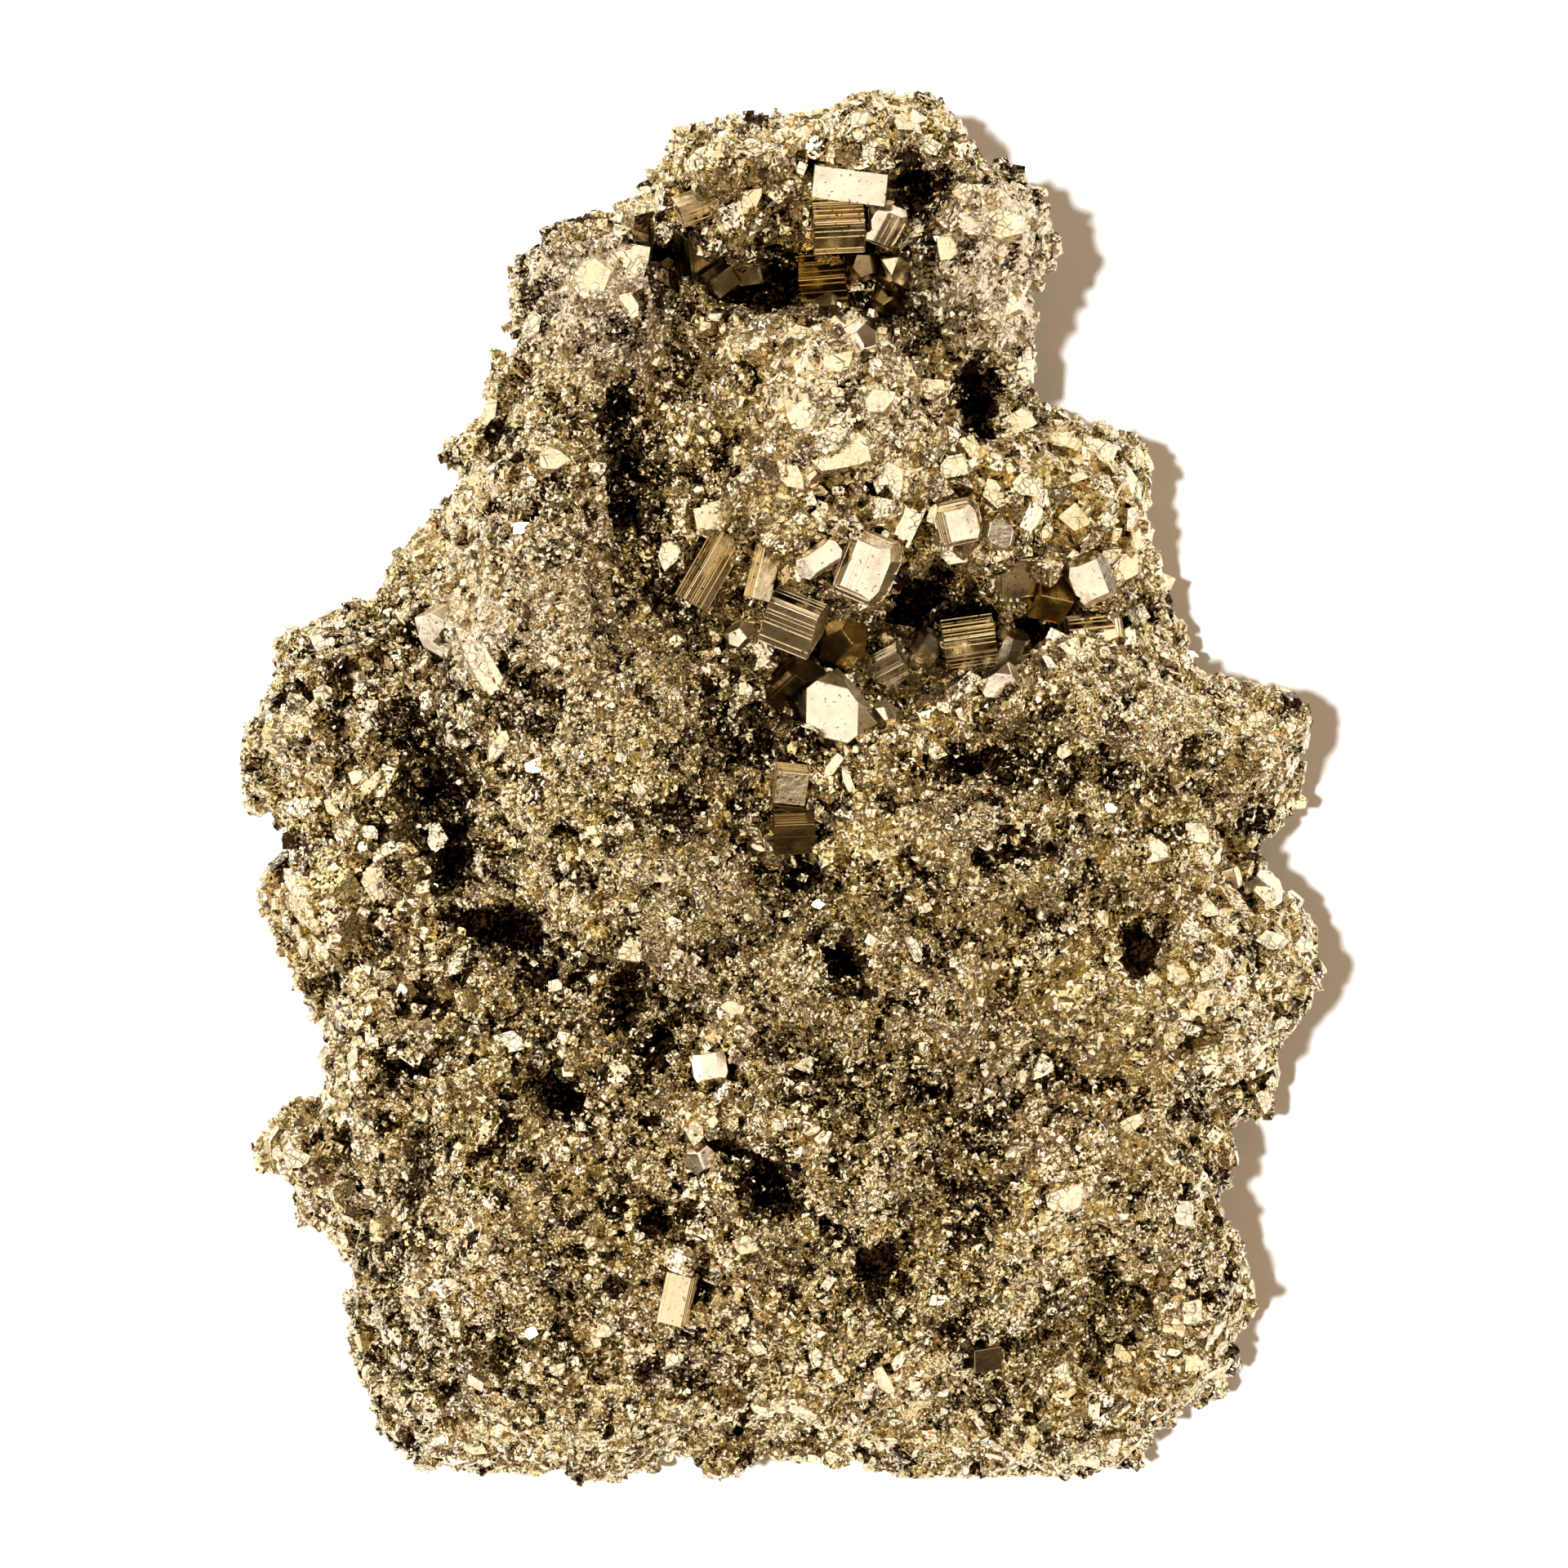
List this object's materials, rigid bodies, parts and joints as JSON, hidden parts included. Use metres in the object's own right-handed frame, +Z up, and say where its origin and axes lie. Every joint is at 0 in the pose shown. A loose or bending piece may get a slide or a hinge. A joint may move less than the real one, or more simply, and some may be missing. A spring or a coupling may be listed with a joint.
{
  "type": "pyrite crystal cluster",
  "caption": "Rough brassy lump of fine intergrown pyrite with knobbly lobes, dark pits and coarse single crystals standing in its pockets; lies on a flat back.",
  "frame": {"origin": "on the flat back it rests on, under the middle of the specimen's box", "axes": "+Z up from the flat back to the showy side, +Y towards the narrow top end along the specimen's length, +X to the right when the showy side is seen with the narrow end up"},
  "size_m": [0.0624, 0.0796, 0.0345],
  "materials": {
    "pyrite_grain": "sparkling metallic grain, brassy with dark brown tarnish in its hollows",
    "pyrite_crystal": "bright metallic crystal faces, finely striated"
  },
  "bodies": {
    "root": {"amber_block": "pyrite_crystal", "amber_crystal_top": "pyrite_crystal", "amber_cube_top": "pyrite_crystal", "banded_block": "pyrite_crystal", "barrel_crystal": "pyrite_crystal", "bridge_crystal": "pyrite_crystal", "bright_crystal_centre": "pyrite_crystal", "bright_pyritohedron": "pyrite_crystal", "dark_cube_centre": "pyrite_crystal", "dark_cube_far_left": "pyrite_crystal", "dark_cube_lower": "pyrite_crystal", "dark_cube_upper_left": "pyrite_crystal", "dark_pyritohedron_top": "pyrite_crystal", "framed_crystal": "pyrite_crystal", "hexagon_crystal": "pyrite_crystal", "leaning_blade": "pyrite_crystal", "left_ridge_crystal": "pyrite_crystal", "oval_crystal_centre": "pyrite_crystal", "pale_block_pocket": "pyrite_crystal", "pale_block_top": "pyrite_crystal", "pale_knob_lower": "pyrite_crystal", "pale_slab": "pyrite_crystal", "pale_twin_lower": "pyrite_crystal", "pale_twin_upper": "pyrite_crystal", "plate_crystal_top": "pyrite_crystal", "pocket_foot_pyramid": "pyrite_crystal", "pyrite_mass": "pyrite_grain", "pyritohedron_centre": "pyrite_crystal", "right_edge_block": "pyrite_crystal", "right_edge_crystal": "pyrite_crystal", "round_crystal_ridge": "pyrite_crystal", "slim_crystal_centre": "pyrite_crystal", "small_block_left": "pyrite_crystal", "small_block_right": "pyrite_crystal", "small_oval": "pyrite_crystal", "small_pale_crystal": "pyrite_crystal", "striated_block_top": "pyrite_crystal", "striated_chip": "pyrite_crystal", "striated_cube_centre": "pyrite_crystal", "striated_gold_cube": "pyrite_crystal", "striated_plate_upper_left": "pyrite_crystal", "striated_post_lower": "pyrite_crystal", "upright_blade": "pyrite_crystal", "upright_chip": "pyrite_crystal", "wedge_crystal_top": "pyrite_crystal"}
  },
  "joints": []
}
